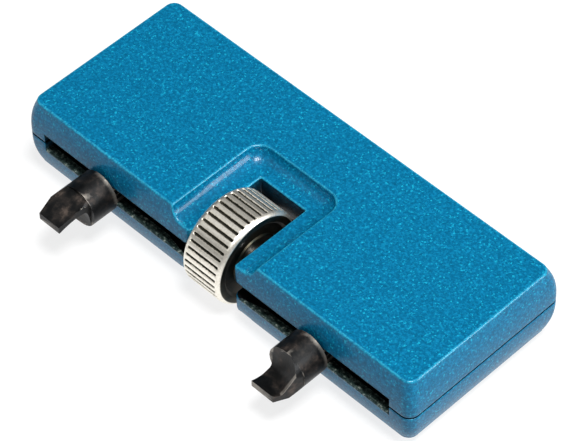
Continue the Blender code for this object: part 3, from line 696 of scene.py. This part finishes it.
def nickel_plating():
    """Warm nickel: bright crests, grooves darkened by painted shade, and side faces painted near black
    with stain mottling, a painted shade for their dark reflection.
    """
    material, nodes, links, shader = new_material("knurled_nickel")
    place = nodes.new("ShaderNodeTexCoord").outputs["Object"]
    stain = add(nodes, links, "TexNoise", {}, {"Vector": place, "Scale": 500.0, "Detail": 4.0})
    # Painted shade: the groove depth darkens the colour to near black at the bottom of each groove, on top
    # of the stain noise.
    uneven = add(nodes, links, "Math", {"operation": "MULTIPLY_ADD"},
                 {0: stain.outputs["Fac"], 1: 0.35, 2: marked(nodes, links, "groove")})
    speck = add(nodes, links, "TexNoise", {}, {"Vector": place, "Scale": 3200.0, "Detail": 2.0})
    mottled = add(nodes, links, "Math", {"operation": "MULTIPLY_ADD"},
                  {0: speck.outputs["Fac"], 1: 0.9, 2: uneven.outputs["Value"]})
    metal = ramp(nodes, links, mottled.outputs["Value"],
                 [(0.55, (0.95, 0.91, 0.82)), (0.95, (0.72, 0.68, 0.58)),
                  (1.25, (0.48, 0.45, 0.38)), (1.55, (0.04, 0.038, 0.03))])
    # Painted shade: the side faces are painted near black, standing in for the dark reflection of the
    # shaded opening.
    side_face_shade = ramp(nodes, links, stain.outputs["Fac"],
                [(0.35, (0.018, 0.024, 0.02)), (0.65, (0.06, 0.05, 0.035))])
    colour = mixed(nodes, links, marked(nodes, links, "side_face"), metal, side_face_shade)
    links.new(colour, shader.inputs["Base Color"])
    rough = scaled(nodes, links, uneven.outputs["Value"],
                   {"From Min": 0.1, "From Max": 1.0, "To Min": 0.4, "To Max": 0.65})
    links.new(rough, shader.inputs["Roughness"])
    scratch = add(nodes, links, "TexNoise", {}, {"Vector": place, "Scale": 2600.0, "Detail": 3.0})
    links.new(bumped(nodes, links, scratch.outputs["Fac"], 0.12, 0.00003), shader.inputs["Normal"])
    shader.inputs["Metallic"].default_value = 1.0
    return material


def blackened_steel():
    """Black oxide over turned steel, rubbed brown in patches and bright on its edges."""
    material, nodes, links, shader = new_material("black_oxide_steel")
    place = nodes.new("ShaderNodeTexCoord").outputs["Object"]
    blotch = add(nodes, links, "TexNoise", {}, {"Vector": place, "Scale": 420.0, "Detail": 6.0,
                                                "Roughness": 0.65})
    fine = add(nodes, links, "TexNoise", {}, {"Vector": place, "Scale": 2400.0, "Detail": 3.0})
    base = ramp(nodes, links, blotch.outputs["Fac"],
                [(0.34, (0.005, 0.006, 0.007)), (0.5, (0.013, 0.013, 0.013)),
                 (0.6, (0.034, 0.028, 0.025)), (0.72, (0.11, 0.085, 0.07))])
    edge = add(nodes, links, "NewGeometry", {}, {})
    edge_share = add(nodes, links, "Math", {"operation": "MULTIPLY_ADD"},
               {0: fine.outputs["Fac"], 1: 0.08, 2: edge.outputs["Pointiness"]})
    rubbed = scaled(nodes, links, edge_share.outputs["Value"],
                    {"From Min": 0.575, "From Max": 0.66, "To Max": 0.55})
    links.new(mixed(nodes, links, rubbed, base, (0.36, 0.33, 0.29, 1)), shader.inputs["Base Color"])
    rough = scaled(nodes, links, blotch.outputs["Fac"],
                   {"From Min": 0.3, "From Max": 0.7, "To Min": 0.34, "To Max": 0.55})
    links.new(rough, shader.inputs["Roughness"])
    coarse = bumped(nodes, links, blotch.outputs["Fac"], 0.35, 0.00015)
    pits = bumped(nodes, links, fine.outputs["Fac"], 0.3, 0.00004, coarse)
    links.new(pits, shader.inputs["Normal"])
    shader.inputs["Metallic"].default_value = 0.75
    return material


def turned_metal(name, colour, roughness):
    """Turned metal: fine rings along X in its roughness, over a slightly uneven colour."""
    material, nodes, links, shader = new_material(name)
    place = nodes.new("ShaderNodeTexCoord").outputs["Object"]
    noise = add(nodes, links, "TexNoise", {}, {"Vector": place, "Scale": 1500.0, "Detail": 4.0})
    shade = ramp(nodes, links, noise.outputs["Fac"],
                 [(0.3, [0.82 * part for part in colour]), (0.7, [min(1, 1.1 * part) for part in colour])])
    links.new(shade, shader.inputs["Base Color"])
    rings = add(nodes, links, "TexWave", {"bands_direction": "X"},
                {"Vector": place, "Scale": WAVE_PITCH / (RING_PITCH * MM), "Distortion": 1.5})
    rough = scaled(nodes, links, rings.outputs["Fac"],
                   {"To Min": roughness * 0.8, "To Max": roughness * 1.3})
    links.new(rough, shader.inputs["Roughness"])
    shader.inputs["Metallic"].default_value = 1.0
    return material


# ---------------------------------------------------------------- camera, floor and light

def view_of_object():
    """Camera above and to the right of the front, looking down at the jaws."""
    azimuth, elevation, roll = np.radians([45.7526, 49.2106, -1.19874])
    shift_x, shift_y, distance = -1.02366, -2.82969, 464.2965
    back = np.array([np.sin(azimuth) * np.cos(elevation),
                     -np.cos(azimuth) * np.cos(elevation), np.sin(elevation)])
    right = np.array([np.cos(azimuth), np.sin(azimuth), 0.0])
    up = np.cross(back, right)
    across = right * np.cos(roll) + up * np.sin(roll)
    upward = -right * np.sin(roll) + up * np.cos(roll)
    aim = np.array([0.0, FRONT_Y + 15.7, 0.0])
    place = aim - across * shift_x - upward * shift_y + back * distance
    data = bpy.data.cameras.new("studio_camera")
    data.lens = 189.8
    data.sensor_width = 36.0
    data.clip_start, data.clip_end = 0.01, 20.0
    camera = bpy.data.objects.new("studio_camera", data)
    turn = Matrix((across, upward, back)).transposed()
    camera.matrix_world = Matrix.Translation(Vector(place * MM)) @ turn.to_4x4()
    bpy.context.collection.objects.link(camera)
    bpy.context.scene.camera = camera


def floor_and_light():
    """Pale floor, dim white surroundings and soft lights above and beside the front.

    A lamp's row is its name, place, width, height and power, in metres and watts.
    """
    scene = bpy.context.scene
    scene.view_settings.view_transform = "Standard"
    world = bpy.data.worlds.new("pale_room")
    world.use_nodes = True
    world.node_tree.nodes["Background"].inputs["Color"].default_value = (1, 1, 1, 1)
    world.node_tree.nodes["Background"].inputs["Strength"].default_value = 0.1
    scene.world = world
    size = 3.0
    level = cad_low[2] - 0.0001
    mesh = bpy.data.meshes.new("floor")
    mesh.from_pydata([(-size, -size, level), (size, -size, level), (size, size, level),
                      (-size, size, level)], [], [(0, 1, 2, 3)])
    floor = bpy.data.objects.new("floor", mesh)
    bpy.context.collection.objects.link(floor)
    material, nodes, links, shader = new_material("pale_floor")
    shader.inputs["Base Color"].default_value = (0.2, 0.2, 0.2, 1)
    shader.inputs["Roughness"].default_value = 0.9
    shader.inputs["Specular IOR Level"].default_value = 0.0
    shader.inputs["Emission Color"].default_value = (1, 1, 1, 1)
    shader.inputs["Emission Strength"].default_value = 0.8
    mesh.materials.append(material)
    lamps = [("front_softbox", (-0.42, -0.42, 0.62), 0.5, 0.5, 0.5),
             ("overhead_softbox", (0.24, -0.06, 0.84), 0.3, 0.26, 11.0),
             ("right_strip", (0.7, 0.38, 0.42), 0.25, 0.5, 6.0)]
    for name, place, wide, tall, power in lamps:
        light = bpy.data.lights.new(name, "AREA")
        light.shape = "RECTANGLE"
        light.size, light.size_y = wide, tall
        light.energy = power
        lamp = bpy.data.objects.new(name, light)
        lamp.location = place
        lamp.rotation_euler = (-Vector(place)).to_track_quat("-Z", "Y").to_euler()
        bpy.context.collection.objects.link(lamp)


# ---------------------------------------------------------------- assembly

view_of_object()
floor_and_light()
paint = blue_paint()
nickel = nickel_plating()
oxide = blackened_steel()
steel = turned_metal("bright_steel", (0.5, 0.5, 0.5), 0.3)
brass = turned_metal("turned_brass", (0.66, 0.49, 0.2), 0.3)
bronze = turned_metal("bearing_bronze", (0.42, 0.26, 0.13), 0.45)

make_shell("top_cast_shell", "top_shell", 1, TOP_HIGH[2] - AXIS_Z, paint, True)
make_shell("bottom_cast_shell", "bottom_shell", -1, AXIS_Z - BOTTOM_LOW[2], paint, False)
make_wheel(nickel)
make_screw(steel)
make_jaw("left_steel_jaw", "left_jaw", "left_slider", -1, oxide)
make_jaw("right_steel_jaw", "right_jaw", "right_slider", 1, oxide)

finishes = {"wheel_grub_screw": oxide, "jaw_nut": brass, "end_bush": bronze,
            "thrust_washer": steel, "shell_screw": steel, "dowel": steel}
for node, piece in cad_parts.items():
    for word, material in finishes.items():
        if node.endswith(word):
            piece.data.materials.clear()
            piece.data.materials.append(material)
